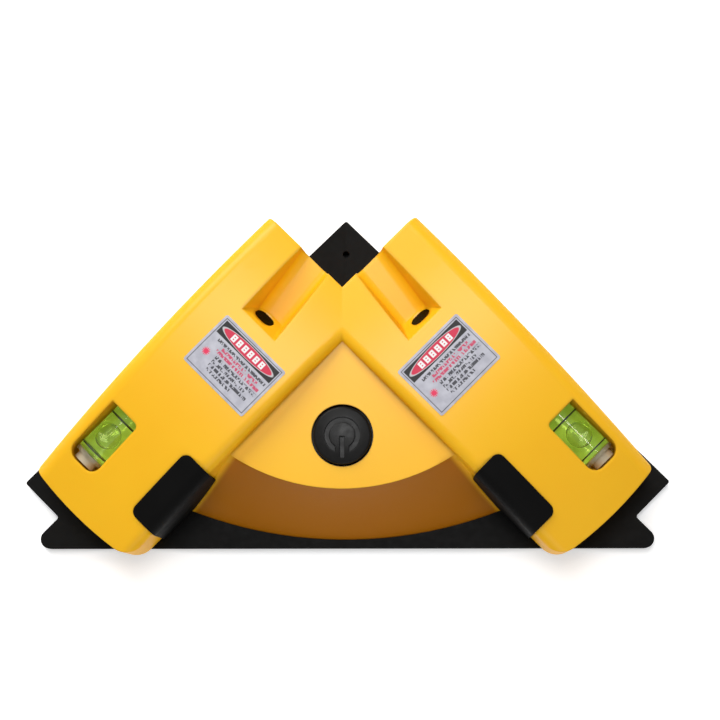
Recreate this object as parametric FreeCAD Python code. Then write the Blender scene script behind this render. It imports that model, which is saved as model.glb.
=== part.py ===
import FreeCAD, Part
import math
import os

# Right-angle laser level: two hollow arms at 90 degrees on a black base plate.
# Millimetres, +Z up.  The datum is the pin hole where both laser planes cross.
# Arm shapes are drawn along +X (u along the arm, v outward, z up), then turned
# by -45 degrees for the right arm and mirrored in x for the left arm.

V = FreeCAD.Vector
os.makedirs("parts", exist_ok=True)

# --- base plate ---
TIP_X = 102.5            # half width over the two tips
BASE_T = 4.6             # plate thickness
FRONT_Y = -94.5          # straight front edge
SIDE_V = 20.4            # outer edge of each wing
NOTCH_V = 4.9            # inner line of the tip notch
APEX_HALF = 7.8          # half side of the corner square
APEX_T = 6.4             # thickness of the corner square
VALLEY_Z = 5.0           # height of the crease between the two corner facets
PIN_R = 1.0              # pin hole at the datum
TIP_R = 0.8
WING_R = 3.0
TIP_U = TIP_X * math.sqrt(2) - SIDE_V

# --- arm shell ---
END_U = 11.4             # flat end face of each arm
OUT_V0 = 20.6            # outer wall at the end face
OUT_V1 = 17.2            # outer wall at the far end
IN_V = -23.2             # inner wall
ARC_R = 118.5            # far ends lie on one arc about the datum
CREST_U = 49.0
CREST_Z = 39.5           # highest point of the arms
CREST_R = 180.0          # camber along the arm
CUT_TOP = CREST_Z + 7.0  # cutters for the arm tops reach this high
WALL = 2.0
EDGE_OUT_R = 4.6         # top edge along the outer wall
EDGE_IN_R = 3.2          # top edge along the inner wall
EDGE_END_R = 0.8         # edges round both ends
CORNER_OUT_R = 2.4
CORNER_IN_R = 6.6

# --- centre fan and front ramp ---
NOTCH_Y = -END_U * math.sqrt(2)
FAN_R = 61.5             # fan edge about the inner corner
FAN_Z0 = 35.0            # fan height at the corner
FAN_Z1 = 32.0            # fan height at its edge
FAN_SIDE_V = -9.0        # how far the fan runs into each arm
RAMP_R = 129.0           # foot of the ramp
RAMP_Y = -91.8           # foot of the ramp on the centre line
RAMP_HOLLOW = 1.6        # how far the ramp is hollowed at half height

# --- laser troughs and apertures ---
BEAM_Z = 32.0
TROUGH_U = 38.0
TROUGH_BACK = (-9.3, 4.9)      # side walls at the back
TROUGH_FRONT = (-5.2, 6.6)     # side walls at the end face
TROUGH_Z_BACK = 29.4
TROUGH_Z_FRONT = 31.7
TROUGH_R_IN = 2.6
TROUGH_R_OUT = 3.2
TROUGH_DRAFT_IN = 0.30
TROUGH_DRAFT_OUT = 0.30
TROUGH_SLANT = 5.7             # how far the back wall leans
APERTURE_V = (-4.3, 2.4)
APERTURE_Z = (30.2, 36.2)
APERTURE_R = 2.4
WINDOW_SET = 0.3         # window sits this far behind the trough wall

# --- laser modules ---
BARREL_R = 3.9
BARREL_U = (43.4, 66.0)
BARREL_WALL = 1.2
BORE_R = BARREL_R - BARREL_WALL
POST_U = (46.0, 51.0)
POST_V = BARREL_R + 6.1
REST_U = (57.0, 60.0)
REST_V = BARREL_R + 1.5
STRAP_T = 1.2
CLAMP_SCREW_V = BARREL_R + 3.5

# --- vials ---
VIAL_MID = (92.5, 7.8)
VIAL_Z = 25.8
VIAL_R = 5.2
VIAL_WALL = 0.7
VIAL_IN_R = VIAL_R - VIAL_WALL
VIAL_LEN = 21.8
VIAL_GAP = 0.4           # round the tube, in its pocket
VIAL_END_GAP = 2.8
VIAL_U = (85.4, VIAL_MID[0] + VIAL_LEN / 2 + VIAL_END_GAP)   # window
VIAL_V = (VIAL_MID[1] - VIAL_R - VIAL_GAP, VIAL_MID[1] + VIAL_R + VIAL_GAP)
VIAL_FLOOR = VIAL_Z - VIAL_R - VIAL_GAP
VIAL_CORNER_R = 3.6
PLUG_T = 1.2
PLUG_TAIL = 2.2          # far plug reaches past the tube
PLUG_TAIL_R = VIAL_R - 1.6
RING_MID = 94.2
RING_GAP = 12.6
RING_W = 0.4
RING_T = 0.12
BUBBLE_R = 1.7
BUBBLE_LEN = 8.2
BUBBLE_TRAVEL = 3.0
BUBBLE_GAP = 0.35

# --- pads and labels ---
PAD_U = (80.5, 105.5)
PAD_V = -13.9
PAD_PROUD = 0.8
PAD_SINK = 0.8
PAD_Z = 5.4
LABEL_U = (42.3, 61.3)
LABEL_V = (-18.6, 6.8)
LABEL_T = 0.15

# --- power button ---
BUTTON_Y = -61.5
BUTTON_R = 8.85
BUTTON_GAP = 0.6         # dark ring round the cap
BUTTON_HOLE_R = BUTTON_R + BUTTON_GAP
BUTTON_TOP = 34.6
BUTTON_DOME = 0.9
BUTTON_FLANGE_R = BUTTON_HOLE_R + 1.15
BUTTON_BOTTOM = 28.6
BUTTON_TRAVEL = 2.0
STEM_R = 1.9

# --- cells, door, board ---
CELL_R = 7.1
CELL_L = 49.5
CELL_Y = -55.0
CELL_GAP = 0.8           # between and beside the cells
CELL_OFFSET = 2.1        # each cell sits this far toward its button end
DOOR_T = 2.0
DOOR_GAP = 0.35
DOOR_X = 33.0
TONGUE = 1.4
CELL_Z = DOOR_T + 0.6 + CELL_R
BAY_HALF_Y = 2 * CELL_R + CELL_GAP
BAY_X = CELL_L / 2 + 4.85
BAY_TOP = CELL_Z + CELL_R + 1.4
BAY_WALL = 1.6
BOARD_X = 20.0
BOARD_Y = (-71.0, -41.0)
BOARD_T = 1.6
STANDOFF = 1.4
SWITCH_HALF = 4.0
SWITCH_H = 3.6
BOARD_SCREW_X = 16.5
BOARD_SCREW_Y = -44.5

# --- housing screws ---
SCREW_R = 1.3
SCREW_HEAD_R = 2.6
SCREW_HEAD_H = 1.6
SCREW_LEN = 14.0
BOSS_R = 3.2
SCREW_UV = [(25.0, 14.2), (110.0, -6.0)]
SCREW_MID_Y = -29.0
SINK = 2.4
FIT = 0.05
HOLE_CLEAR = 0.3
DOT_R = 4.0
DOT_T = 1.0
DOT_UV = [(116.0, 13.0), (38.0, 13.0)]

# The finished part is centred on its own bounding box.
CORNER_C = V(math.sqrt((ARC_R - CORNER_IN_R) ** 2 - (IN_V + CORNER_IN_R) ** 2),
             IN_V + CORNER_IN_R, 0)
Y_MIN = (CORNER_C.y - CORNER_C.x) / math.sqrt(2) - CORNER_IN_R
Y_MAX = APEX_HALF * math.sqrt(2) - TIP_R * (math.sqrt(2) - 1)
SHIFT = V(0, -(Y_MIN + Y_MAX) / 2, 0)


# --- helpers ---
def box(x0, x1, y0, y1, z0, z1):
    return Part.makeBox(x1 - x0, y1 - y0, z1 - z0, V(x0, y0, z0))


def disc(x, y, z0, z1, r):
    return Part.makeCylinder(r, z1 - z0, V(x, y, z0))


def rod(u0, u1, v, z, r):
    return Part.makeCylinder(r, u1 - u0, V(u0, v, z), V(1, 0, 0))


def poly(points):
    pts = [V(*p) for p in points]
    return Part.Face(Part.makePolygon(pts + [pts[0]]))


def flat(points, z0, z1):
    return poly([(x, y, z0) for x, y in points]).extrude(V(0, 0, z1 - z0))


def right(shape):
    out = shape.copy()
    out.rotate(V(0, 0, 0), V(0, 0, 1), -45)
    return out


def left(shape):
    return right(shape).mirror(V(0, 0, 0), V(1, 0, 0))


def both(shape):
    return [right(shape), left(shape)]


def uv(u, v):
    return (u + v) / math.sqrt(2), (v - u) / math.sqrt(2)


def upright_edges(shape, x, y, tol=0.7):
    found = []
    for edge in shape.Edges:
        if len(edge.Vertexes) == 2:
            a, b = edge.Vertexes[0].Point, edge.Vertexes[1].Point
            if abs(a.x - b.x) + abs(a.y - b.y) < 1e-5 and math.hypot(a.x - x, a.y - y) < tol:
                found.append(edge)
    return found


def round_uprights(shape, x, y, r):
    return shape.makeFillet(r, upright_edges(shape, x, y))


def join(shapes):
    out = shapes[0]
    if len(shapes) > 1:
        out = out.fuse(shapes[1:])
    return out.removeSplitter()


def save(name, shapes):
    shapes = shapes if isinstance(shapes, list) else [shapes]
    solids = []
    for shape in shapes:
        for solid in shape.Solids:
            piece = solid.copy()
            piece.translate(SHIFT)
            solids.append(piece)
    out = solids[0] if len(solids) == 1 else Part.makeCompound(solids)
    print(name, len(solids), all(s.isValid() for s in solids), round(out.Volume, 2))
    out.exportStep("parts/" + name + ".step")


# --- arm outer form, drawn along +X ---
def top_z(u):
    return CREST_Z - CREST_R + math.sqrt(CREST_R ** 2 - (u - CREST_U) ** 2)


def arm_profile(inset):
    """Everything below the cambered top, inset downward."""
    r, zc = CREST_R - inset, CREST_Z - CREST_R
    u0, u1 = -15.0, 135.0
    z0 = zc + math.sqrt(r * r - (u0 - CREST_U) ** 2)
    z1 = zc + math.sqrt(r * r - (u1 - CREST_U) ** 2)
    a, b, c, d = V(u0, -60, 0), V(u0, -60, z0), V(u1, -60, z1), V(u1, -60, 0)
    arc = Part.Arc(b, V(CREST_U, -60, zc + r), c).toShape()
    wire = Part.Wire([Part.makeLine(a, b), arc, Part.makeLine(c, d), Part.makeLine(d, a)])
    return Part.Face(wire).extrude(V(0, 120, 0))


def arm_plan(inset):
    """Plan corners of the arm, inset by a wall: end face, walls and far arc."""
    slope = (OUT_V1 - OUT_V0) / (ARC_R - END_U)
    start = OUT_V0 - slope * END_U - inset * math.sqrt(1 + slope * slope)
    r, v_in, u0 = ARC_R - inset, IN_V + inset, END_U + inset
    a, b, c = 1 + slope * slope, 2 * slope * start, start * start - r * r
    u_out = (-b + math.sqrt(b * b - 4 * a * c)) / (2 * a)
    u_in = math.sqrt(r * r - v_in * v_in)
    return [(u0, v_in), (u0, start + slope * u0), (u_out, start + slope * u_out), (u_in, v_in)], r


def closed_plan(points, arc_mid, floor_z):
    """Prism on four plan corners; the side between corners 2 and 3 may be an arc."""
    p = [V(u, v, floor_z) for u, v in points]
    if arc_mid:
        far = Part.Arc(p[2], V(arc_mid, 0, floor_z), p[3]).toShape()
    else:
        far = Part.makeLine(p[2], p[3])
    wire = Part.Wire([Part.makeLine(p[0], p[1]), Part.makeLine(p[1], p[2]), far,
                      Part.makeLine(p[3], p[0])])
    return Part.Face(wire).extrude(V(0, 0, 60))


def arm_solid(inset, floor_z, end_r=0.0):
    """One closed arm, inset by a wall, with its top edges rounded."""
    pts, r = arm_plan(inset)
    slope = (pts[2][1] - pts[1][1]) / (pts[2][0] - pts[1][0])
    u0, u1 = END_U - 8.0, ARC_R + 12.0
    long_pts = [(u0, pts[0][1]), (u0, pts[1][1] + slope * (u0 - pts[1][0])),
                (u1, pts[1][1] + slope * (u1 - pts[1][0])), (u1, pts[0][1])]
    bar = closed_plan(long_pts, None, floor_z).common(arm_profile(inset))
    high = [e for e in bar.Edges if e.BoundBox.ZMin > floor_z + 5 and e.Length > 60]
    outer = [e for e in high if e.CenterOfMass.y > 0]
    bar = bar.makeFillet(EDGE_OUT_R - inset, outer)
    high = [e for e in bar.Edges if e.BoundBox.ZMin > floor_z + 5 and e.Length > 60]
    inner = [e for e in high if abs(e.CenterOfMass.y - pts[0][1]) < 0.01]
    bar = bar.makeFillet(EDGE_IN_R - inset, inner)
    plan = closed_plan(pts, r, floor_z)
    for (u, v), radius in zip(pts[2:], (CORNER_OUT_R, CORNER_IN_R)):
        plan = round_uprights(plan, u, v, max(radius - inset, 0.6))
    body = bar.common(plan).removeSplitter()
    if end_r:
        rim = [e for e in body.Edges
               if e.BoundBox.XMax < pts[0][0] + 0.01 and e.BoundBox.ZMax > floor_z + 1]
        body = body.makeFillet(end_r, rim)
    return body


# --- fan and ramp ---
def ramp_wire(t, inset):
    """Plan section of the front at height fraction t (0 at the foot, 1 at the fan edge)."""
    z = BASE_T + t * (FAN_Z1 - BASE_T)
    y_top = NOTCH_Y - FAN_R
    radius = RAMP_R + t * (FAN_R - RAMP_R)
    y_mid = RAMP_Y + t * (y_top - RAMP_Y) + 4 * t * (1 - t) * RAMP_HOLLOW + inset
    radius -= inset
    x = min(56.0, radius - 4)
    cy = y_mid + radius
    y_side = cy - math.sqrt(radius * radius - x * x)
    back = -12.0
    a, m, b = V(-x, y_side, z), V(0, y_mid, z), V(x, y_side, z)
    c, d = V(x, back, z), V(-x, back, z)
    return Part.Wire([Part.Arc(a, m, b).toShape(), Part.makeLine(b, c), Part.makeLine(c, d),
                      Part.makeLine(d, a)])


def fan_solid(inset, floor_z):
    """Centre body: a shallow dome cut off in front by the hollow ramp."""
    steps = [-0.06, 0.25, 0.5, 0.75, 1.0, 1.14]
    block = Part.makeLoft([ramp_wire(t, inset) for t in steps], True, False)
    z0, z1 = FAN_Z0 - inset, FAN_Z1 - inset
    r1 = 1.5 * FAN_R
    mid_z = (z0 + z1) / 2 + 0.4
    out_z = z1 - (z0 - z1) * 0.75
    prof = Part.Wire([
        Part.makeLine(V(0, 0, floor_z), V(0, 0, z0)),
        Part.Arc(V(0, 0, z0), V(FAN_R / 2, 0, mid_z), V(FAN_R, 0, z1)).toShape(),
        Part.makeLine(V(FAN_R, 0, z1), V(r1, 0, out_z)),
        Part.makeLine(V(r1, 0, out_z), V(r1, 0, floor_z)),
        Part.makeLine(V(r1, 0, floor_z), V(0, 0, floor_z))])
    dome = Part.Face(prof).revolve(V(0, 0, 0), V(0, 0, 1), 360)
    dome = dome if dome.isValid() else dome.reversed()
    dome.translate(V(0, NOTCH_Y, 0))
    y_keep = NOTCH_Y - 0.5 - inset
    x_keep = -y_keep + FAN_SIDE_V * math.sqrt(2)
    keep = flat([(x_keep, y_keep), (-x_keep, y_keep), (-x_keep - 90, y_keep - 90),
                 (x_keep + 90, y_keep - 90)], floor_z, 60)
    return block.common(dome).common(keep)


def outer_body(inset, floor_z, end_r=0.0):
    arm = arm_solid(inset, floor_z, end_r)
    return join([right(arm), left(arm), fan_solid(inset, floor_z)])


# --- cuts in the arm tops ---
def trough_section(u, sides, z_floor, z_skin, lean, grow):
    """Scoop across the arm: steep outer wall, gentler inner wall, rounded floor."""
    lo, hi = sides[0] - grow, sides[1] + grow
    zf, top = z_floor - grow, CUT_TOP

    def at(z, v):
        return V(u + lean * (z - zf) / (z_skin - z_floor), v, z)

    def inner(z):
        return lo + TROUGH_DRAFT_IN * (z_skin - z)

    def outer(z):
        return hi - TROUGH_DRAFT_OUT * (z_skin - z)

    z_in, z_out = zf + TROUGH_R_IN, zf + TROUGH_R_OUT
    a, b = inner(z_in), outer(z_out)
    fa, fb = a + TROUGH_R_IN, b - TROUGH_R_OUT
    k = 1 - math.sqrt(0.5)
    pts = [at(top, inner(top)), at(z_in, a), at(zf + k * TROUGH_R_IN, a + k * TROUGH_R_IN),
           at(zf, fa), at(zf, fb), at(zf + k * TROUGH_R_OUT, b - k * TROUGH_R_OUT),
           at(z_out, b), at(top, outer(top))]
    return Part.Wire([
        Part.makeLine(pts[0], pts[1]), Part.Arc(pts[1], pts[2], pts[3]).toShape(),
        Part.makeLine(pts[3], pts[4]), Part.Arc(pts[4], pts[5], pts[6]).toShape(),
        Part.makeLine(pts[6], pts[7]), Part.makeLine(pts[7], pts[0])])


def trough(grow):
    """Scooped channel from the aperture wall to the end face."""
    u_back, u_front = TROUGH_U - TROUGH_SLANT + grow, END_U - 3.0
    back = trough_section(u_back, TROUGH_BACK, TROUGH_Z_BACK, top_z(TROUGH_U), TROUGH_SLANT, grow)
    front = trough_section(u_front, TROUGH_FRONT, TROUGH_Z_FRONT, top_z(END_U), 0, grow)
    return Part.makeLoft([back, front], True, True)


def aperture():
    u0, u1 = TROUGH_U - TROUGH_SLANT - 0.4, TROUGH_U + 4.5
    hole = box(u0, u1, *APERTURE_V, *APERTURE_Z)
    longs = [e for e in hole.Edges if abs(e.Length - (u1 - u0)) < 0.01]
    return hole.makeFillet(APERTURE_R, longs)


def aperture_window():
    """Smoked window that fills the aperture just behind the trough wall."""
    plug = aperture().common(trough(WALL)).cut(trough(WINDOW_SET))
    return max(plug.Solids, key=lambda s: s.Volume)


def vial_pocket(grow, reach=0.0):
    """Blind pocket for the vial; reach carries its wall out into the side of the arm."""
    u0, u1, v0 = VIAL_U[0] - grow, VIAL_U[1] + grow, VIAL_V[0] - grow
    v1 = VIAL_V[1] + grow + reach
    pocket = box(u0, u1, v0, v1, VIAL_FLOOR - grow, CUT_TOP)
    for u, v, r in ((u1, v0, VIAL_CORNER_R), (u1, v1, VIAL_CORNER_R), (u0, v0, 1.6)):
        pocket = round_uprights(pocket, u, v, r + grow)
    under = box(VIAL_MID[0] - VIAL_LEN / 2 - VIAL_GAP - grow, u0 + 4, v0, v1,
                VIAL_FLOOR - grow, VIAL_Z + VIAL_R + VIAL_GAP + grow)
    return pocket.fuse(under).removeSplitter()


def pad_zone():
    zone = box(PAD_U[0], PAD_U[1], IN_V - 2, PAD_V, PAD_Z, CUT_TOP)
    for u in PAD_U:
        zone = round_uprights(zone, u, PAD_V, 2.5)
    return zone


def pad():
    return arm_solid(-PAD_PROUD, BASE_T).cut(arm_solid(PAD_SINK, BASE_T)).common(pad_zone())


def screw_spots():
    spots = [uv(u, v) for u, v in SCREW_UV]
    return spots + [(-x, y) for x, y in spots] + [(0.0, SCREW_MID_Y)]


def button_well(r, z0, z1):
    return disc(0, BUTTON_Y, z0, z1, r)


# --- shell ---
def make_shell():
    outer = outer_body(0, BASE_T, EDGE_END_R)
    cavity = outer_body(WALL, BASE_T - 1)
    shell = outer.cut(cavity)
    tubs = []
    for form in (trough(WALL), vial_pocket(WALL - 0.4, 4.0)):
        tubs += [s.common(outer) for s in both(form)]
    for x, y in screw_spots():
        tubs.append(disc(x, y, BASE_T, CREST_Z, BOSS_R).common(outer))
    shell = shell.fuse(tubs)
    cuts = both(trough(0)) + both(aperture()) + both(vial_pocket(0)) + both(pad())
    cuts.append(button_well(BUTTON_HOLE_R, BUTTON_BOTTOM, 50))
    depth = SINK + SCREW_LEN + 1
    cuts += [disc(x, y, BASE_T - 1, depth, SCREW_R + FIT) for x, y in screw_spots()]
    return shell.cut(cuts)


# --- base plate ---
def base_outline():
    half = END_U + HOLE_CLEAR
    side = [(-APEX_HALF, APEX_HALF), (half, APEX_HALF), (half, SIDE_V), (TIP_U, SIDE_V),
            (TIP_U, NOTCH_V), (NOTCH_V - FRONT_Y * math.sqrt(2), NOTCH_V)]
    pts = [uv(u, v) for u, v in side]
    return pts + [(-x, y) for x, y in reversed(pts[1:])]


def corner_square(z0, z1):
    side = END_U - HOLE_CLEAR
    return flat([uv(-APEX_HALF, APEX_HALF), uv(side, APEX_HALF), uv(side, -side),
                 uv(-APEX_HALF, -side)], z0, z1)


def door_outline(grow, y_front):
    """Sliding door: a plate with a tongue along each side."""
    x = DOOR_X + grow
    y0, y1 = y_front, CELL_Y + BAY_HALF_Y + 3.0 + grow
    plate = box(-x, x, y0, y1, -grow, DOOR_T + grow)
    tongues = box(-x - TONGUE, x + TONGUE, y0, y1, 0.6 - grow, 1.4 + grow)
    return plate.fuse(tongues).removeSplitter()


def make_base():
    base = flat(base_outline(), 0, BASE_T)
    for x, y in base_outline():
        r = WING_R if y < FRONT_Y + 1 else TIP_R
        base = round_uprights(base, x, y, r)
    square = round_uprights(corner_square(0, APEX_T), 0, APEX_HALF * math.sqrt(2), TIP_R)
    valley = poly([(-14, -20, APEX_T + 0.3), (14, -20, APEX_T + 0.3), (0, -20, VALLEY_Z)])
    square = square.cut(valley.extrude(V(0, 40, 0)))
    bay_wall = box(-BAY_X - BAY_WALL, BAY_X + BAY_WALL, CELL_Y - BAY_HALF_Y - BAY_WALL,
                   CELL_Y + BAY_HALF_Y + BAY_WALL, BASE_T - 0.5, BAY_TOP + BAY_WALL)
    adds = [square, bay_wall]
    for u0, u1, v in (POST_U + (POST_V,), REST_U + (REST_V,)):
        adds += both(box(u0, u1, -v, v, BASE_T - 0.5, BEAM_Z))
    for x, y in board_spots():
        adds.append(disc(x, y, BAY_TOP, BAY_TOP + BAY_WALL + STANDOFF, 2.4))
    base = base.fuse(adds)
    cuts = [box(-BAY_X, BAY_X, CELL_Y - BAY_HALF_Y, CELL_Y + BAY_HALF_Y, -1, BAY_TOP),
            door_outline(DOOR_GAP, FRONT_Y - 5),
            disc(0, 0, -1, 10, PIN_R)]
    cuts += both(rod(POST_U[0] - 1, REST_U[1] + 1, 0, BEAM_Z, BARREL_R + FIT))
    cuts += both(disc((POST_U[0] + POST_U[1]) / 2, CLAMP_SCREW_V, BEAM_Z - 7, 40, 0.8))
    cuts += both(disc((POST_U[0] + POST_U[1]) / 2, -CLAMP_SCREW_V, BEAM_Z - 7, 40, 0.8))
    for x, y in board_spots():
        cuts.append(disc(x, y, BAY_TOP + 0.4, 30, 0.8))
    for x, y in screw_spots():
        cuts += [disc(x, y, -1, SINK, SCREW_HEAD_R + HOLE_CLEAR),
                 disc(x, y, 1, BASE_T + 1, SCREW_R + HOLE_CLEAR)]
    for x, y in dot_spots():
        cuts.append(disc(x, y, -1, DOT_T, DOT_R + FIT))
    return base.cut(cuts).removeSplitter()


def dot_spots():
    spots = [uv(u, v) for u, v in DOT_UV]
    return spots + [(-x, y) for x, y in spots]


def board_spots():
    x, y0, y1 = BOARD_SCREW_X, BOARD_SCREW_Y, BOARD_Y[0] + BOARD_Y[1] - BOARD_SCREW_Y
    return [(x, y0), (-x, y0), (x, y1), (-x, y1)]


def make_door():
    door = door_outline(0, FRONT_Y)
    for i in range(5):
        y = FRONT_Y + 6 + 2.2 * i
        door = door.cut(box(-9, 9, y, y + 1.0, -1, 0.6))
    return door.cut(box(-9, 9, FRONT_Y + 4, FRONT_Y + 5, -1, 0.6))


# --- fasteners ---
def screw(x, y, z_head, length, r, head_r, head_h, up):
    """Pan-head screw; up=+1 when the head is on top."""
    head_z = z_head if up > 0 else z_head - head_h
    head = disc(x, y, head_z, head_z + head_h, head_r)
    rim_z = head_z + head_h if up > 0 else head_z
    rims = [e for e in head.Edges if e.Length > 4 and abs(e.BoundBox.ZMin - rim_z) < 0.01
            and abs(e.BoundBox.ZMax - rim_z) < 0.01]
    head = head.makeFillet(head_h * 0.4, rims)
    shaft = disc(x, y, z_head - length, z_head, r) if up > 0 else disc(
        x, y, z_head, z_head + length, r)
    w, d = head_r * 0.22, head_h * 0.55
    z0 = rim_z - d if up > 0 else rim_z - 0.1
    z1 = rim_z + 0.1 if up > 0 else rim_z + d
    k = head_r * 0.62
    cross = box(x - k, x + k, y - w, y + w, z0, z1).fuse(box(x - w, x + w, y - k, y + k, z0, z1))
    return head.fuse(shaft).removeSplitter().cut(cross)


def housing_screws():
    return [screw(x, y, SINK, SCREW_LEN - 1, SCREW_R, SCREW_HEAD_R, SCREW_HEAD_H, -1)
            for x, y in screw_spots()]


# --- laser modules ---
def barrel():
    u0, u1 = BARREL_U
    tube = rod(u0, u1, 0, BEAM_Z, BARREL_R).cut(rod(u0 + 3, u1 + 1, 0, BEAM_Z, BORE_R))
    mouth = Part.makeCone(BORE_R * 0.95, 1.6, 2.0, V(u0, 0, BEAM_Z), V(1, 0, 0))
    tube = tube.cut([mouth, rod(u0, u0 + 4, 0, BEAM_Z, 1.6)])
    for k in range(4):
        u = u1 - 3 - 1.8 * k
        ring = rod(u, u + 0.8, 0, BEAM_Z, BARREL_R + 1).cut(rod(u, u + 0.8, 0, BEAM_Z, BARREL_R - 0.35))
        tube = tube.cut(ring)
    return tube


def line_lens():
    u = BARREL_U[0] + 4.8
    half = BORE_R * 0.78
    return Part.makeCylinder(1.5, 2 * half, V(u, -half, BEAM_Z), V(0, 1, 0))


def diode():
    u = BARREL_U[1] - 8
    can = rod(u - 3.4, u, 0, BEAM_Z, 2.3).fuse(rod(u, u + 1.2, 0, BEAM_Z, BORE_R - FIT))
    return can.removeSplitter()


def driver_board():
    u = BARREL_U[1]
    chip = box(u + 1.0, u + 2.0, -1.6, 1.6, BEAM_Z - 1.2, BEAM_Z + 1.2)
    return rod(u, u + 1.0, 0, BEAM_Z, BARREL_R - 0.4).fuse(chip).removeSplitter()


def clamp():
    u0, u1 = POST_U
    hoop = rod(u0, u1, 0, BEAM_Z, BARREL_R + FIT + STRAP_T)
    feet = box(u0, u1, -POST_V, POST_V, BEAM_Z, BEAM_Z + 1.5)
    strap = hoop.fuse(feet).cut(box(u0 - 1, u1 + 1, -12, 12, BEAM_Z - 10, BEAM_Z))
    holes = [disc((u0 + u1) / 2, s * CLAMP_SCREW_V, BEAM_Z - 1, 40, 1.1) for s in (-1, 1)]
    return strap.cut([rod(u0 - 1, u1 + 1, 0, BEAM_Z, BARREL_R + FIT)] + holes).removeSplitter()


def clamp_screws():
    u = (POST_U[0] + POST_U[1]) / 2
    out = []
    for s in (-1, 1):
        one = screw(u, s * CLAMP_SCREW_V, BEAM_Z + 1.5, 6.0, 0.75, 1.6, 1.1, 1)
        out += both(one)
    return out


# --- vials ---
def vial_tube():
    u, v = VIAL_MID
    u0, u1 = u - VIAL_LEN / 2, u + VIAL_LEN / 2
    return rod(u0, u1, v, VIAL_Z, VIAL_R).cut(rod(u0 - 1, u1 + 1, v, VIAL_Z, VIAL_IN_R))


def vial_plug(side):
    u, v = VIAL_MID
    end = u + side * VIAL_LEN / 2
    a, b = sorted((end, end - side * PLUG_T))
    plug = rod(a, b, v, VIAL_Z, VIAL_IN_R - FIT / 2)
    if side > 0:
        plug = plug.fuse(rod(b, b + PLUG_TAIL, v, VIAL_Z, PLUG_TAIL_R)).removeSplitter()
    return plug


def vial_liquid():
    u, v = VIAL_MID
    half = VIAL_LEN / 2 - PLUG_T
    liquid = rod(u - half, u + half, v, VIAL_Z, VIAL_IN_R - FIT / 2)
    return liquid.cut(bubble_form(BUBBLE_GAP, BUBBLE_TRAVEL))


def bubble_form(grow, travel):
    """Rounded bubble against the top of the tube."""
    u, v = RING_MID, VIAL_MID[1]
    z = VIAL_Z + VIAL_IN_R - BUBBLE_R - BUBBLE_GAP
    half = BUBBLE_LEN / 2 - BUBBLE_R + travel
    r = BUBBLE_R + grow
    parts = [Part.makeSphere(r, V(u + s * half, v, z)) for s in (-1, 1)]
    return rod(u - half, u + half, v, z, r).fuse(parts).removeSplitter()


def vial_ring(side):
    u, v = VIAL_MID
    a = RING_MID + side * RING_GAP / 2 - RING_W / 2
    ring = rod(a, a + RING_W, v, VIAL_Z, VIAL_R + RING_T)
    return ring.cut(rod(a - 1, a + 2, v, VIAL_Z, VIAL_R))


def vial_saddle():
    """Bright cradle that backs the vial on the pocket floor."""
    u, v = VIAL_MID
    half = VIAL_LEN / 2
    saddle = box(u - half + 0.4, u + half - 1.4, v - VIAL_R, v + VIAL_R, VIAL_FLOOR,
                 VIAL_Z - VIAL_R * 0.46)
    return saddle.cut(rod(u - half - 3, u + half + 3, v, VIAL_Z, VIAL_R + FIT + RING_T))


# --- button and switch ---
def dome_cap(r, z_rim, rise, z_low):
    big = (r * r + rise * rise) / (2 * rise)
    ball = Part.makeSphere(big, V(0, BUTTON_Y, z_rim + rise - big))
    return disc(0, BUTTON_Y, z_low, z_rim + rise + 1, r).common(ball)


def power_symbol(z0, z1):
    """Open ring with a bar pointing at the front edge."""
    ring = disc(0, BUTTON_Y, z0, z1, 5.5).cut(disc(0, BUTTON_Y, z0, z1, 3.9))
    gap = box(-2.1, 2.1, BUTTON_Y - 8, BUTTON_Y - 0.5, z0, z1)
    bar = box(-0.75, 0.75, BUTTON_Y - 6.8, BUTTON_Y - 0.4, z0, z1)
    return [ring.cut(gap), bar]


def make_button():
    rim_z = BUTTON_TOP - BUTTON_DOME
    cap = dome_cap(BUTTON_R, rim_z, BUTTON_DOME, BUTTON_BOTTOM)
    edge = [e for e in cap.Edges if e.Length > 20 and abs(e.BoundBox.ZMin - rim_z) < 0.2]
    cap = cap.makeFillet(0.8, edge)
    flange = disc(0, BUTTON_Y, BUTTON_BOTTOM, BUTTON_BOTTOM + 1.1, BUTTON_FLANGE_R)
    hollow = disc(0, BUTTON_Y, BUTTON_BOTTOM - 1, rim_z - 1.6, BUTTON_R - 1.6)
    stem = disc(0, BUTTON_Y, switch_top() + BUTTON_TRAVEL + 0.3, rim_z - 1.0, STEM_R)
    body = cap.fuse(flange).cut(hollow).fuse(stem).removeSplitter()
    symbol = power_symbol(BUTTON_TOP - 0.85, BUTTON_TOP + 1)
    return body.cut(symbol).removeSplitter()


def board_top():
    return BAY_TOP + BAY_WALL + STANDOFF + BOARD_T


def switch_top():
    return board_top() + SWITCH_H


def switch_body():
    h = SWITCH_HALF
    body = box(-h, h, BUTTON_Y - h, BUTTON_Y + h, board_top(), switch_top())
    for x in (-h, h):
        for y in (-h, h):
            body = round_uprights(body, x, BUTTON_Y + y, 0.6)
    return body.cut(disc(0, BUTTON_Y, board_top() + 0.4, 40, 1.5))


def switch_plunger():
    z1 = switch_top() + BUTTON_TRAVEL + 0.3
    return disc(0, BUTTON_Y, board_top() + 0.7 + BUTTON_TRAVEL, z1, 1.42)


def coil(x, y, z0, height, r, wire, turns, axis=None):
    helix = Part.makeHelix(height / turns, height, r)
    circle = Part.Wire([Part.Circle(V(r, 0, 0), V(0, 1, 0), wire / 2).toShape()])
    pipe = Part.Wire(helix.Edges).makePipeShell([circle], True, True)
    if axis:
        pipe.rotate(V(0, 0, 0), V(0, 1, 0), axis)
    pipe.translate(V(x, y, z0))
    return pipe


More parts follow.
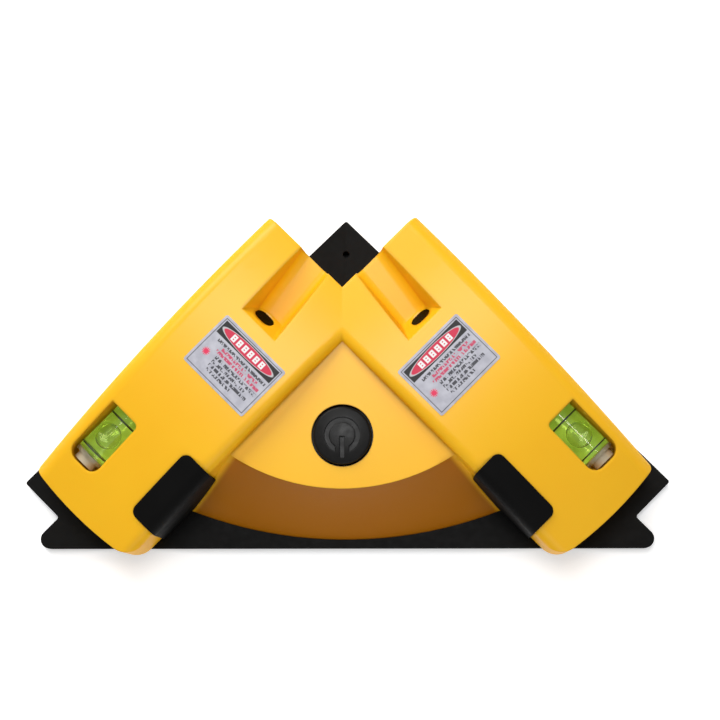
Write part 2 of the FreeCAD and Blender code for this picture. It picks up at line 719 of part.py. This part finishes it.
def switch_spring():
    wire = 0.4
    top = BUTTON_TOP - BUTTON_DOME - 1.6
    low = switch_top() + wire / 2 + 0.02
    return coil(0, BUTTON_Y, low, top - low - wire / 2 - 0.02, 2.9, wire, 5)


# --- cells and contacts ---
def cell_ys():
    half = CELL_R + CELL_GAP / 2
    return [CELL_Y - half, CELL_Y + half]


def cell(y, side):
    """AA cell along x with its button end toward side."""
    z, half = CELL_Z, CELL_L / 2
    can = Part.makeCylinder(CELL_R, CELL_L - 1.4, V(-half, y, z), V(1, 0, 0))
    can = can.makeFillet(0.6, [e for e in can.Edges if e.Length > 30 and e.BoundBox.XLength < 0.1])
    nub = Part.makeCylinder(2.6, 1.6, V(half - 1.6, y, z), V(1, 0, 0))
    body = can.fuse(nub).removeSplitter()
    if side < 0:
        body = body.mirror(V(0, 0, 0), V(1, 0, 0))
    body.translate(V(side * CELL_OFFSET, 0, 0))
    return body


def contact_plates():
    y0, y1 = cell_ys()
    z = CELL_Z
    out = []
    for y, side in ((y0, 1), (y1, -1)):
        x = side * (BAY_X - 0.6)
        out.append(box(min(x, x + side * 0.5), max(x, x + side * 0.5), y - 5, y + 5, z - 5, z + 5))
        wall_x = side * (CELL_L / 2 + CELL_OFFSET + 0.1)
        pad_x = sorted((wall_x, side * (BAY_X - 0.6)))
        out[-1] = out[-1].fuse(box(pad_x[0], pad_x[1], y - 2, y + 2, z - 2, z + 2))
    return out


def spring_strips():
    """Plate with a bent leaf spring at the flat end of each cell."""
    y0, y1 = cell_ys()
    z = CELL_Z
    out = []
    for y, side in ((y0, -1), (y1, 1)):
        back = side * (BAY_X - 0.4)
        root = back - side * 0.3
        tip = side * (CELL_L / 2 - CELL_OFFSET + 0.55)
        heel = tip + side * 0.6
        plate = box(min(back, back - side * 0.5), max(back, back - side * 0.5), y - 5, y + 5,
                    z - 5, z + 5)
        path = [(root, -4.0), (tip, -0.9), (tip, 0.9), (root, 4.0),
                (root, 3.3), (heel, 0.6), (heel, -0.6), (root, -3.3)]
        leaf = poly([(x, y - 3, z + dz) for x, dz in path]).extrude(V(0, 6, 0))
        out.append(plate.fuse(leaf).removeSplitter())
    return out


# --- board parts ---
def board():
    z0 = BAY_TOP + BAY_WALL + STANDOFF
    plate = box(-BOARD_X, BOARD_X, BOARD_Y[0], BOARD_Y[1], z0, z0 + BOARD_T)
    for x in (-BOARD_X, BOARD_X):
        for y in BOARD_Y:
            plate = round_uprights(plate, x, y, 2.0)
    return plate.cut([disc(x, y, z0 - 1, z0 + 5, 1.1) for x, y in board_spots()])


def board_screws():
    return [screw(x, y, board_top(), 4.2, 0.75, 1.7, 1.1, 1) for x, y in board_spots()]


def chip():
    z = board_top()
    body = box(-14, -8, -57.5, -52.5, z + 0.15, z + 1.5)
    legs = []
    for i in range(4):
        x = -13.2 + i * 1.27 + 0.2
        legs += [box(x, x + 0.45, -58.4, -57.5, z, z + 0.6), box(x, x + 0.45, -52.5, -51.6, z, z + 0.6)]
    return body.fuse(legs).removeSplitter()


def capacitor():
    z = board_top()
    can = disc(11.5, -53.0, z, z + 6.5, 2.5)
    groove = disc(11.5, -53.0, z + 1.0, z + 1.6, 3.0).cut(disc(11.5, -53.0, z + 1.0, z + 1.6, 2.2))
    return can.makeFillet(0.4, [e for e in can.Edges if abs(e.BoundBox.ZMin - z - 6.5) < 0.1]).cut(groove)


def resistors():
    z = board_top()
    return [box(x, x + 2.0, y, y + 1.25, z, z + 0.55)
            for x, y in ((-4.0, -49.0), (0.5, -49.0), (5.0, -49.0), (-12.0, -64.0), (9.5, -64.0))]


def wires():
    """Two-wire leads from each laser driver down to the board."""
    out = []
    z = board_top()
    u = BARREL_U[1] + 1.05
    for s in (-1, 1):
        x0, y0 = uv(u + 0.3, s * 2.6)
        pts = [V(x0, y0, BEAM_Z), V(x0 + 2.0, y0 - 2.0, BEAM_Z - 0.5),
               V(x0 - 3.0, y0 - 9.0, BEAM_Z - 3.5), V(30 + s, -58 + 2 * s, z + 3.4),
               V(22, -52 + 2 * s, z + 2.6), V(18.0, -50 + 2 * s, z + 1.2), V(17.4, -50 + 2 * s, z)]
        path = Part.BSplineCurve()
        path.interpolate(pts)
        start = Part.Wire([Part.Circle(pts[0], pts[1] - pts[0], 0.55).toShape()])
        out.append(Part.Wire([path.toShape()]).makePipeShell([start], True, True))
    return out


# --- labels ---
def label():
    zone = box(LABEL_U[0], LABEL_U[1], LABEL_V[0], LABEL_V[1], 30, CUT_TOP)
    for u in LABEL_U:
        for v in LABEL_V:
            zone = round_uprights(zone, u, v, 0.7)
    return arm_profile(-LABEL_T).cut(arm_profile(0)).common(zone)


# --- write every piece ---
def main():
    save("base_plate", make_base())
    save("upper_shell", make_shell())
    save("battery_door", make_door())
    save("housing_screws", housing_screws())
    save("antislip_discs", [disc(x, y, 0, DOT_T, DOT_R) for x, y in dot_spots()])
    save("power_button", make_button())
    save("switch_body", switch_body())
    save("switch_plunger", switch_plunger())
    save("switch_spring", switch_spring())
    save("circuit_board", board())
    save("board_screws", board_screws())
    save("control_chip", chip())
    save("filter_capacitor", capacitor())
    save("board_resistors", resistors())
    cells = cell_ys()
    save("cell_front", cell(cells[0], 1))
    save("cell_rear", cell(cells[1], -1))
    save("contact_plates", contact_plates())
    save("spring_contacts", spring_strips())
    save("clamp_screws", clamp_screws())
    window = aperture_window()
    for side, place in (("right", right), ("left", left)):
        save("laser_barrel_" + side, place(barrel()))
        save("line_lens_" + side, place(line_lens()))
        save("aperture_window_" + side, place(window))
        save("laser_diode_" + side, place(diode()))
        save("driver_board_" + side, place(driver_board()))
        save("laser_clamp_" + side, place(clamp()))
        save("vial_tube_" + side, place(vial_tube()))
        save("vial_liquid_" + side, place(vial_liquid()))
        save("vial_bubble_" + side, place(bubble_form(0, 0)))
        save("vial_plugs_" + side, [place(vial_plug(s)) for s in (-1, 1)])
        save("vial_rings_" + side, [place(vial_ring(s)) for s in (-1, 1)])
        save("vial_cradle_" + side, place(vial_saddle()))
        save("edge_pad_" + side, place(pad()))
        save("warning_label_" + side, place(label()))
    leads = wires()
    save("laser_leads_right", leads)
    save("laser_leads_left", [w.mirror(V(0, 0, 0), V(1, 0, 0)) for w in leads])
    print("shift y", round(SHIFT.y, 4))


main()
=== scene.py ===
import bmesh
import bpy
import math
from mathutils import Matrix, Vector


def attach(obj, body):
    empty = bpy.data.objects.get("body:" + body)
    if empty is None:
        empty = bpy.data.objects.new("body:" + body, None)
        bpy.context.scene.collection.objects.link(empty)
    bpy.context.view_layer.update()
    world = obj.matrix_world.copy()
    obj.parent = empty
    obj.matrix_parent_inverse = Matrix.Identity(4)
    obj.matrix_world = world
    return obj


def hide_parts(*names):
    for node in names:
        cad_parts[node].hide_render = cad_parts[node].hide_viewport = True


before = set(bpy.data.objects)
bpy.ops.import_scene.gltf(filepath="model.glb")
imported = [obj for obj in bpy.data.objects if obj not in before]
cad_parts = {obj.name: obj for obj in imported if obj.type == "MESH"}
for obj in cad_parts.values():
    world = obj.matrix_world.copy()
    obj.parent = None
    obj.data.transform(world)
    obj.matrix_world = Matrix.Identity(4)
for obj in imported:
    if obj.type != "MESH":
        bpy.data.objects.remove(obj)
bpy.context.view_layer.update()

MM = 0.001
R2 = math.sqrt(2.0)
SHIFT_Y = 42.9441           # pin hole to the origin, in mm, along -Y
ARM_IN_V = -23.2            # inner wall of each arm
LABEL_U = (42.3, 61.3)
LABEL_V = (-18.6, 6.8)
VIAL_MID = (92.5, 7.8, 25.8)
VIAL_R, VIAL_HALF = 5.2, 10.9
FILL_R, FILL_HALF = 4.45, 9.6
BUBBLE_U = 94.2
EDGE_SOFT = 0.7             # shading radii in mm: plain edges,
CREASE_SOFT = 3.2           # and what is added at the fan creases,
SCOOP_SOFT = 1.3            # at the beam troughs
WINDOW_SOFT = 0.7           # and at the vial windows
HOLE_SHADE = (2.0, 3.0)     # painted shadow: dark spot on the floor under the pin hole, inner and outer radius in mm
FLOOR_GLOW = 0.42
LENS_MM = 95.2
BUBBLE = (4.1, 3.5, 1.35)     # half sizes along, across and up


# ------------------------------------------------------------------ node helpers
class Mat:
    """Small wrapper that builds a node material with math helpers."""

    def __init__(self, name):
        self.m = bpy.data.materials.new(name)
        self.m.use_nodes = True
        self.t = self.m.node_tree
        self.t.nodes.clear()
        self.out = self.t.nodes.new("ShaderNodeOutputMaterial")

    def node(self, kind, **inputs):
        n = self.t.nodes.new(kind)
        for k, v in inputs.items():
            self.put(n.inputs[k.replace("_", " ")], v)
        return n

    def put(self, socket, value):
        if hasattr(value, "is_linked") or hasattr(value, "node"):
            self.t.links.new(value, socket)
        else:
            socket.default_value = value

    def math(self, op, a, b=0.0, c=None):
        n = self.t.nodes.new("ShaderNodeMath")
        n.operation = op
        self.put(n.inputs[0], a)
        self.put(n.inputs[1], b)
        if c is not None:
            self.put(n.inputs[2], c)
        return n.outputs[0]

    def mix(self, fac, a, b):
        n = self.t.nodes.new("ShaderNodeMix")
        n.data_type = "RGBA"
        self.put(n.inputs["Factor"], fac)
        self.put(n.inputs[6], a)
        self.put(n.inputs[7], b)
        return n.outputs[2]

    def coords(self):
        n = self.t.nodes.new("ShaderNodeTexCoord")
        return n.outputs["Object"]

    def xyz(self, vector):
        n = self.node("ShaderNodeSeparateXYZ", Vector=vector)
        return n.outputs[0], n.outputs[1], n.outputs[2]

    def noise(self, scale, detail=3.0, rough=0.5, vector=None):
        n = self.node("ShaderNodeTexNoise", Scale=scale, Detail=detail, Roughness=rough)
        self.put(n.inputs["Vector"], vector if vector is not None else self.coords())
        return n.outputs["Fac"]

    def ramp(self, fac, low, high, to_low=0.0, to_high=1.0):
        n = self.t.nodes.new("ShaderNodeMapRange")
        n.clamp = True
        for i, v in enumerate((fac, low, high, to_low, to_high)):
            self.put(n.inputs[i], v)
        return n.outputs[0]

    def smooth(self, fac, low, high, to_low=0.0, to_high=1.0):
        n = self.t.nodes.new("ShaderNodeMapRange")
        n.interpolation_type = "SMOOTHSTEP"
        for i, v in enumerate((fac, low, high, to_low, to_high)):
            self.put(n.inputs[i], v)
        return n.outputs[0]

    def bump(self, height, strength, distance, normal=None):
        n = self.node("ShaderNodeBump", Strength=strength, Distance=distance, Height=height)
        if normal is not None:
            self.put(n.inputs["Normal"], normal)
        return n.outputs["Normal"]

    def bevel(self, radius, samples=6):
        n = self.t.nodes.new("ShaderNodeBevel")
        n.samples = samples
        self.put(n.inputs["Radius"], radius)
        return n.outputs["Normal"]

    def surface(self, **inputs):
        n = self.node("ShaderNodeBsdfPrincipled")
        for k, v in inputs.items():
            self.put(n.inputs[k.replace("_", " ")], v)
        self.t.links.new(n.outputs[0], self.out.inputs["Surface"])
        return n


def rgb(r, g, b):
    return (r, g, b, 1.0)


# ------------------------------------------------------------------ materials
def arm_coords(m, side):
    """u along the arm, v outward and z, in mm from the pin hole; side is +1 right, -1 left."""
    x, y, z = m.xyz(m.coords())
    xm = m.math("MULTIPLY", x, 1000.0 * side)
    ym = m.math("MULTIPLY_ADD", y, 1000.0, -SHIFT_Y)
    u = m.math("MULTIPLY", m.math("SUBTRACT", xm, ym), 1 / R2)
    v = m.math("MULTIPLY", m.math("ADD", xm, ym), 1 / R2)
    return u, v, m.math("MULTIPLY", z, 1000.0)


def yellow_shell():
    m = Mat("shell_yellow")
    x, y, z = m.xyz(m.coords())
    xm = m.math("ABSOLUTE", m.math("MULTIPLY", x, 1000.0))
    ym = m.math("MULTIPLY_ADD", y, 1000.0, -SHIFT_Y)
    zm = m.math("MULTIPLY", z, 1000.0)
    u = m.math("MULTIPLY", m.math("SUBTRACT", xm, ym), 1 / R2)
    v = m.math("MULTIPLY", m.math("ADD", xm, ym), 1 / R2)
    fine = m.noise(2600.0, 2.0, 0.6)
    normal = m.t.nodes.new("ShaderNodeNewGeometry").outputs["Normal"]
    _, ny, nz = m.xyz(normal)
    # painted shade: the front ramp, facing away from the lamps, is painted a deeper orange-brown than
    # the tops
    ramp = m.math("MULTIPLY", m.smooth(ny, -0.2, -0.7), m.smooth(v, ARM_IN_V, ARM_IN_V - 2.5))
    lit = m.mix(m.ramp(m.noise(28.0, 2.0), 0.3, 0.7),
                rgb(0.93, 0.500, 0.012), rgb(0.90, 0.465, 0.010))
    # painted shade: walls that face sideways rather than up are painted up to 30% deeper orange than the
    # tops
    side = m.math("MULTIPLY", m.smooth(nz, 0.55, 0.1), 0.30)
    lit = m.mix(side, lit, rgb(0.86, 0.34, 0.008))
    # painted shade: up to 92% of the ramp colour goes to a dark orange-brown
    col = m.mix(m.math("MULTIPLY", ramp, 0.92), lit, rgb(0.34, 0.098, 0.002))
    rough = m.ramp(m.noise(900.0, 3.0), 0.3, 0.7, 0.36, 0.44)
    # wide soft blends at the fan and at the cut-outs, small radius elsewhere
    high = m.smooth(zm, 26.5, 29.5)
    crease = m.smooth(m.math("ABSOLUTE", m.math("SUBTRACT", v, ARM_IN_V)), 7.0, 3.0)
    scoop = m.math("MULTIPLY", m.smooth(u, 42.0, 38.0), m.smooth(m.math("ABSOLUTE", v), 12.0, 9.0))
    window = m.math("MULTIPLY", m.smooth(u, 82.0, 84.5), m.smooth(
        m.math("ABSOLUTE", m.math("SUBTRACT", v, VIAL_MID[1])), 9.5, 7.5))
    extra = m.math("ADD", m.math("MULTIPLY", crease, CREASE_SOFT),
                   m.math("ADD", m.math("MULTIPLY", scoop, SCOOP_SOFT),
                          m.math("MULTIPLY", window, WINDOW_SOFT)))
    radius = m.math("MULTIPLY_ADD", m.math("MULTIPLY", high, extra), MM, EDGE_SOFT * MM)
    bump = m.bump(fine, 0.10, 0.00004, m.bevel(radius, 10))
    m.surface(Base_Color=col, Roughness=rough, Normal=bump,
              Specular_IOR_Level=0.05, Subsurface_Weight=0.05, Subsurface_Scale=0.002,
              Coat_Weight=m.math("MULTIPLY", m.smooth(nz, 0.6, 0.85), 0.55), Coat_Roughness=0.33)
    return m.m


def black_plastic(name, level, rough_mid, grain, bevel=0.4, gloss=0.13):
    m = Mat(name)
    speck = m.noise(3800.0, 3.0, 0.6)
    cloud = m.noise(60.0, 3.0)
    col = m.mix(m.ramp(cloud, 0.3, 0.7), rgb(level, level, level * 0.97),
                rgb(level * 1.5, level * 1.45, level * 1.4))
    rough = m.ramp(m.noise(500.0, 3.0), 0.3, 0.7, rough_mid - 0.05, rough_mid + 0.06)
    bump = m.bump(speck, grain, 0.00006, m.bevel(bevel * MM, 4))
    m.surface(Base_Color=col, Roughness=rough, Normal=bump, Specular_IOR_Level=gloss)
    return m.m


def metal(name, color, rough, scale=1500.0):
    m = Mat(name)
    n = m.noise(scale, 3.0)
    col = m.mix(m.ramp(n, 0.3, 0.7), rgb(*color), rgb(*[c * 0.8 for c in color]))
    m.surface(Base_Color=col, Metallic=1.0,
              Roughness=m.ramp(m.noise(400.0), 0.3, 0.7, rough, rough + 0.12),
              Normal=m.bump(n, 0.08, 0.00003))
    return m.m


def plain(name, color, rough, var=0.15, scale=700.0, **extra):
    m = Mat(name)
    n = m.noise(scale, 3.0)
    col = m.mix(m.ramp(n, 0.3, 0.7), rgb(*color), rgb(*[c * (1 - var) for c in color]))
    m.surface(Base_Color=col, Roughness=m.ramp(n, 0.3, 0.7, rough, rough + 0.1),
              Normal=m.bump(m.noise(2500.0), 0.08, 0.00004), **extra)
    return m.m


def mask_band(m, value, low, high, soft=0.06):
    """1 between low and high, with soft edges."""
    a = m.ramp(value, low - soft, low + soft)
    b = m.ramp(value, high - soft, high + soft)
    return m.math("SUBTRACT", a, b)


def label_material(side):
    """Silver film label: border, black band with a red oval, rows of generic dashes."""
    m = Mat("label_film_" + ("right" if side > 0 else "left"))
    u, v, _ = arm_coords(m, side)
    lx = m.math("SUBTRACT", v, LABEL_V[0]) if side > 0 else m.math("SUBTRACT", LABEL_V[1], v)
    ly = m.math("SUBTRACT", LABEL_U[1], u)
    w, h = LABEL_V[1] - LABEL_V[0], LABEL_U[1] - LABEL_U[0]
    flat = m.node("ShaderNodeCombineXYZ", X=lx, Y=ly, Z=0.0).outputs[0]
    paper = m.mix(m.ramp(m.noise(0.35, 2.0, vector=flat), 0.35, 0.65),
                  rgb(0.40, 0.40, 0.46), rgb(0.50, 0.50, 0.56))
    # border line
    inx = m.math("MINIMUM", lx, m.math("SUBTRACT", w, lx))
    iny = m.math("MINIMUM", ly, m.math("SUBTRACT", h, ly))
    edge = m.math("MINIMUM", inx, iny)
    col = m.mix(m.math("MULTIPLY", mask_band(m, edge, 0.75, 1.0), 0.85), paper, rgb(0.02, 0.02, 0.03))
    # black band and oval
    band_lo, band_hi = h - 6.0, h - 1.35
    band = m.math("MULTIPLY", mask_band(m, ly, band_lo, band_hi), mask_band(m, lx, 1.35, w - 1.35))
    col = m.mix(band, col, rgb(0.004, 0.004, 0.005))
    ex = m.math("DIVIDE", m.math("SUBTRACT", lx, w / 2), 10.6)
    ey = m.math("DIVIDE", m.math("SUBTRACT", ly, (band_lo + band_hi) / 2), 1.95)
    rr = m.math("SQRT", m.math("ADD", m.math("MULTIPLY", ex, ex), m.math("MULTIPLY", ey, ey)))
    col = m.mix(m.ramp(rr, 1.04, 1.00), col, rgb(0.50, 0.50, 0.52))
    col = m.mix(m.ramp(rr, 0.97, 0.93), col, rgb(0.58, 0.015, 0.06))
    # six plain blocks inside the oval
    step = 2.35
    cell = m.math("DIVIDE", m.math("SUBTRACT", lx, w / 2 - 3 * step), step)
    frac = m.math("FRACT", cell)
    blocks = m.math("MULTIPLY", mask_band(m, frac, 0.16, 0.84, 0.03), mask_band(m, cell, 0.0, 6.0, 0.02))
    hole = m.math("MULTIPLY", mask_band(m, frac, 0.40, 0.60, 0.04),
                  mask_band(m, m.math("ABSOLUTE", ey), 0.12, 0.30, 0.04))
    tall = mask_band(m, ey, -0.55, 0.55, 0.05)
    blocks = m.math("MULTIPLY", m.math("MULTIPLY", blocks, tall), m.math("SUBTRACT", 1.0, hole))
    col = m.mix(blocks, col, rgb(0.82, 0.80, 0.80))
    # rows of dashes
    rows = ((11.7, 3.6, 23.6, 0.95, 0), (10.35, 6.6, 21.5, 1.0, 1), (8.95, 5.4, 23.4, 1.0, 1),
            (7.35, 6.8, 24.0, 1.05, 0), (5.85, 6.8, 20.5, 1.0, 0), (4.4, 6.8, 22.5, 1.0, 0),
            (2.95, 6.8, 17.0, 0.95, 0))
    for i, (yc, x0, x1, tall_mm, red) in enumerate(rows):
        seed = m.node("ShaderNodeCombineXYZ", X=m.math("MULTIPLY", lx, 1.9), Y=float(i * 3.7),
                      Z=m.math("MULTIPLY", ly, 0.9)).outputs[0]
        marks = m.noise(1.0, 1.0, 0.4, seed)
        on = m.ramp(marks, 0.44, 0.50)
        row = m.math("MULTIPLY", mask_band(m, ly, yc - tall_mm / 2, yc + tall_mm / 2, 0.12),
                     mask_band(m, lx, x0, x1))
        ink = rgb(0.55, 0.02, 0.09) if red else rgb(0.012, 0.012, 0.018)
        col = m.mix(m.math("MULTIPLY", m.math("MULTIPLY", row, on), 0.9), col, ink)
    # small red burst
    bx = m.math("SUBTRACT", lx, 3.4)
    by = m.math("SUBTRACT", ly, 6.6)
    rad = m.math("SQRT", m.math("ADD", m.math("MULTIPLY", bx, bx), m.math("MULTIPLY", by, by)))
    ang = m.math("ARCTAN2", by, bx)
    spikes = m.math("MULTIPLY_ADD", m.math("COSINE", m.math("MULTIPLY", ang, 12.0)), 0.35, 1.05)
    col = m.mix(m.ramp(m.math("SUBTRACT", rad, spikes), 0.08, -0.08), col, rgb(0.72, 0.03, 0.10))
    m.surface(Base_Color=col, Roughness=0.42, Specular_IOR_Level=0.25,
              Normal=m.bump(m.noise(2200.0), 0.06, 0.00003))
    return m.m


def glass(name, color, rough, ior, glow=0.0, glow_color=(0.5, 0.8, 0.1)):
    m = Mat(name)
    n = m.noise(300.0, 2.0)
    m.surface(Base_Color=m.mix(m.ramp(n, 0.3, 0.7), rgb(*color), rgb(*[c * 0.96 for c in color])),
              Roughness=rough, IOR=ior, Transmission_Weight=1.0,
              Emission_Color=rgb(*glow_color), Emission_Strength=glow)
    return m.m


MATS = {
    "shell": yellow_shell(),
    "base": black_plastic("base_black", 0.003, 0.50, 0.20, 0.4, 0.08),
    "pad": black_plastic("rubber_black", 0.003, 0.60, 0.30, 0.6, 0.06),
    "button": black_plastic("button_black", 0.006, 0.32, 0.10, 0.35, 0.14),
    "dark": black_plastic("dark_plastic", 0.010, 0.5, 0.2),
    "window": black_plastic("window_smoke", 0.001, 0.25, 0.03, 0.3, 0.03),
    "steel": metal("screw_steel", (0.55, 0.55, 0.57), 0.25),
    "brass": metal("barrel_brass", (0.80, 0.58, 0.24), 0.22),
    "nickel": metal("contact_nickel", (0.72, 0.71, 0.68), 0.2),
    "can": metal("can_aluminium", (0.78, 0.78, 0.80), 0.25),
    "board": plain("board_green", (0.01, 0.16, 0.05), 0.35),
    "chip": plain("chip_black", (0.02, 0.02, 0.022), 0.5),
    "white": plain("plunger_white", (0.8, 0.8, 0.77), 0.4),
    "cell": plain("cell_wrap", (0.05, 0.06, 0.09), 0.3),
    "lead": plain("lead_red", (0.45, 0.02, 0.02), 0.45),
    "plug": plain("plug_tan", (0.50, 0.42, 0.28), 0.5),
    "cradle": plain("cradle_pale", (0.78, 0.88, 0.40), 0.45),
    "mark": plain("ring_black", (0.012, 0.016, 0.012), 0.4),
    "lens": glass("lens_clear", (0.95, 0.95, 0.95), 0.02, 1.5),
    "tube": glass("vial_clear", (0.99, 1.0, 0.97), 0.01, 1.49),
    # painted light: the green liquid has a faint green glow that brightens it inside the shaded vial
    # window
    "liquid": glass("vial_green", (0.88, 0.98, 0.46), 0.0, 1.36 / 1.49, 0.07),
    "bubble": glass("bubble_clear", (0.98, 1.0, 0.95), 0.0, 1 / 1.36),
    "label_right": label_material(1),
    "label_left": label_material(-1),
}

NODE_MATS = {
    "upper_shell": "shell", "base_plate": "base", "battery_door": "base",
    "housing_screws": "steel", "antislip_discs": "pad", "power_button": "button",
    "switch_body": "dark", "switch_plunger": "white", "switch_spring": "steel",
    "circuit_board": "board", "board_screws": "steel", "control_chip": "chip",
    "filter_capacitor": "can", "board_resistors": "chip", "cell_front": "cell",
    "cell_rear": "cell", "contact_plates": "nickel", "spring_contacts": "nickel",
    "clamp_screws": "steel",
}
for s in ("left", "right"):
    NODE_MATS.update({
        "laser_barrel_" + s: "brass", "line_lens_" + s: "lens", "laser_diode_" + s: "can",
        "driver_board_" + s: "board", "laser_clamp_" + s: "dark", "vial_tube_" + s: "tube",
        "vial_liquid_" + s: "liquid", "vial_bubble_" + s: "bubble", "vial_plugs_" + s: "plug",
        "vial_rings_" + s: "mark", "vial_cradle_" + s: "cradle", "edge_pad_" + s: "pad",
        "warning_label_" + s: "label_" + s, "laser_leads_" + s: "lead",
        "aperture_window_" + s: "window"})
for node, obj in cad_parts.items():
    obj.data.materials.clear()
    obj.data.materials.append(MATS[NODE_MATS[node]])


# ------------------------------------------------------------------ vials
def to_row(side, u, v, z):
    """Arm coordinates in mm to the row frame in metres."""
    x, y = side * (u + v) / R2, (v - u) / R2
    return (x * MM, (y + SHIFT_Y) * MM, z * MM)


def lathe(name, side, profile, segments=64):
    """Closed body of revolution about the vial axis; profile is [(u offset, radius)]."""
    u0, v0, z0 = VIAL_MID
    bm = bmesh.new()
    rings = []
    for du, r in profile:
        if r < 1e-6:
            rings.append([bm.verts.new(to_row(side, u0 + du, v0, z0))])
            continue
        ring = []
        for k in range(segments):
            a = 2 * math.pi * k / segments
            ring.append(bm.verts.new(to_row(side, u0 + du, v0 + r * math.cos(a),
                                            z0 + r * math.sin(a))))
        rings.append(ring)
    for a, b in zip(rings, rings[1:]):
        for k in range(segments):
            n = (k + 1) % segments
            if len(a) == 1:
                bm.faces.new((a[0], b[k], b[n]))
            elif len(b) == 1:
                bm.faces.new((a[k], b[0], a[n]))
            else:
                bm.faces.new((a[k], b[k], b[n], a[n]))
    return finish_mesh(name, bm)


def finish_mesh(name, bm):
    bmesh.ops.recalc_face_normals(bm, faces=bm.faces)
    mesh = bpy.data.meshes.new(name)
    bm.to_mesh(mesh)
    bm.free()
    for poly in mesh.polygons:
        poly.use_smooth = True
    o = bpy.data.objects.new(name, mesh)
    bpy.context.scene.collection.objects.link(o)
    return o


def rounded_rod(half, r, edge, bulge=0.0, steps=6, spans=16):
    """Half profile of a rod with rounded ends and an optional barrel bulge."""
    pts = [(-half, 0.0)]
    for k in range(steps + 1):
        a = math.pi / 2 * k / steps
        pts.append((-half + edge - edge * math.cos(a), r - edge + edge * math.sin(a)))
    inner = [(-half + edge + (2 * (half - edge)) * k / spans) for k in range(1, spans)]
    pts += [(u, r + bulge * (1 - (u / half) ** 2)) for u in inner]
    pts += [(-u, q) for u, q in reversed(pts[:steps + 2])]
    return pts


def bubble_mesh(name, side):
    """Flattened bubble pressed against the top of the liquid."""
    u0, v0, z0 = BUBBLE_U, VIAL_MID[1], VIAL_MID[2]
    a, b, c = BUBBLE
    bm = bmesh.new()
    bmesh.ops.create_uvsphere(bm, u_segments=48, v_segments=24, radius=1.0)
    zc = z0 + FILL_R - 0.14 - c
    for p in bm.verts:
        du, dv, dz = p.co.x * a, p.co.y * b, p.co.z * c
        dz -= (dv * dv) / (2 * FILL_R) * (0.5 + 0.5 * p.co.z)
        p.co = to_row(side, u0 + du, v0 + dv, zc + dz)
    return finish_mesh(name, bm)


def build_vials():
    for side, word in ((1, "right"), (-1, "left")):
        tube = lathe("vial_glass_" + word, side, rounded_rod(VIAL_HALF, VIAL_R, 0.4))
        fill = lathe("vial_fill_" + word, side, rounded_rod(FILL_HALF, FILL_R, 0.3, 0.12))
        bubble = bubble_mesh("bubble_" + word, side)
        for piece, key, node, body in ((tube, "tube", "vial_tube_", "housing"),
                                       (fill, "liquid", "vial_liquid_", "housing"),
                                       (bubble, "bubble", "vial_bubble_", "bubble_" + word)):
            piece.data.materials.append(MATS[key])
            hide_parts(node + word)
            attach(piece, body)


build_vials()


# ------------------------------------------------------------------ floor, light, camera
def quad(name, size, z):
    bm = bmesh.new()
    vs = [bm.verts.new((x * size, y * size, z)) for x, y in ((-1, -1), (1, -1), (1, 1), (-1, 1))]
    bm.faces.new(vs)
    mesh = bpy.data.meshes.new(name)
    bm.to_mesh(mesh)
    bm.free()
    o = bpy.data.objects.new(name, mesh)
    bpy.context.scene.collection.objects.link(o)
    return o


def floor():
    o = quad("floor", 3.0, -0.0002)
    m = Mat("floor_pale")
    x, y, _ = m.xyz(m.coords())
    dy = m.math("SUBTRACT", y, SHIFT_Y * MM)
    away = m.math("SQRT", m.math("ADD", m.math("MULTIPLY", x, x), m.math("MULTIPLY", dy, dy)))
    # painted shadow: near the pin hole the floor is painted dark and does not glow
    lit = m.ramp(away, HOLE_SHADE[0] * MM, HOLE_SHADE[1] * MM)
    n = m.noise(6.0, 2.0)
    pale = m.mix(n, rgb(0.93, 0.93, 0.93), rgb(0.90, 0.90, 0.90))
    m.surface(Base_Color=m.mix(lit, rgb(0.004, 0.004, 0.004), pale), Roughness=0.7,
              Emission_Color=rgb(1, 1, 1), Emission_Strength=m.math("MULTIPLY", lit, FLOOR_GLOW),
              Specular_IOR_Level=0.3)
    o.data.materials.append(m.m)


def area(name, loc, target, size, power, color=(1, 1, 1)):
    light = bpy.data.lights.new(name, "AREA")
    light.shape = "RECTANGLE"
    light.size, light.size_y = size
    light.energy = power
    light.color = color
    o = bpy.data.objects.new(name, light)
    bpy.context.scene.collection.objects.link(o)
    o.location = loc
    o.rotation_euler = (Vector(target) - Vector(loc)).to_track_quat("-Z", "Y").to_euler()
    return o


def lights():
    area("key", (-0.28, 0.62, 0.52), (0, 0, 0.02), (0.6, 0.45), 5.0, (1.0, 0.985, 0.96))
    area("top", (-0.01, 0.17, 0.95), (0, 0, 0), (0.32, 0.32), 3.5)
    area("fill", (0.15, -0.6, 0.5), (0, 0, 0.02), (0.6, 0.6), 1.0, (0.96, 0.98, 1.0))
    world = bpy.data.worlds.new("studio")
    world.use_nodes = True
    bg = world.node_tree.nodes["Background"]
    bg.inputs[0].default_value = (1.0, 1.0, 1.0, 1.0)
    bg.inputs[1].default_value = 0.29
    bpy.context.scene.world = world


def camera():
    centre = Vector((24.11, -119.36 + SHIFT_Y, 608.85)) * MM
    look = Vector((4.81, -35.85 + SHIFT_Y, 15.0)) * MM
    back = (centre - look).normalized()
    right = Vector((0, 1, 0)).cross(back).normalized()
    up = back.cross(right)
    cam = bpy.data.cameras.new("camera")
    cam.lens = LENS_MM
    cam.sensor_width = 36.0
    o = bpy.data.objects.new("camera", cam)
    bpy.context.scene.collection.objects.link(o)
    o.matrix_world = Matrix((
        (right.x, up.x, back.x, centre.x), (right.y, up.y, back.y, centre.y),
        (right.z, up.z, back.z, centre.z), (0, 0, 0, 1)))
    bpy.context.scene.camera = o


floor()
lights()
camera()
bpy.context.scene.view_settings.view_transform = "Standard"
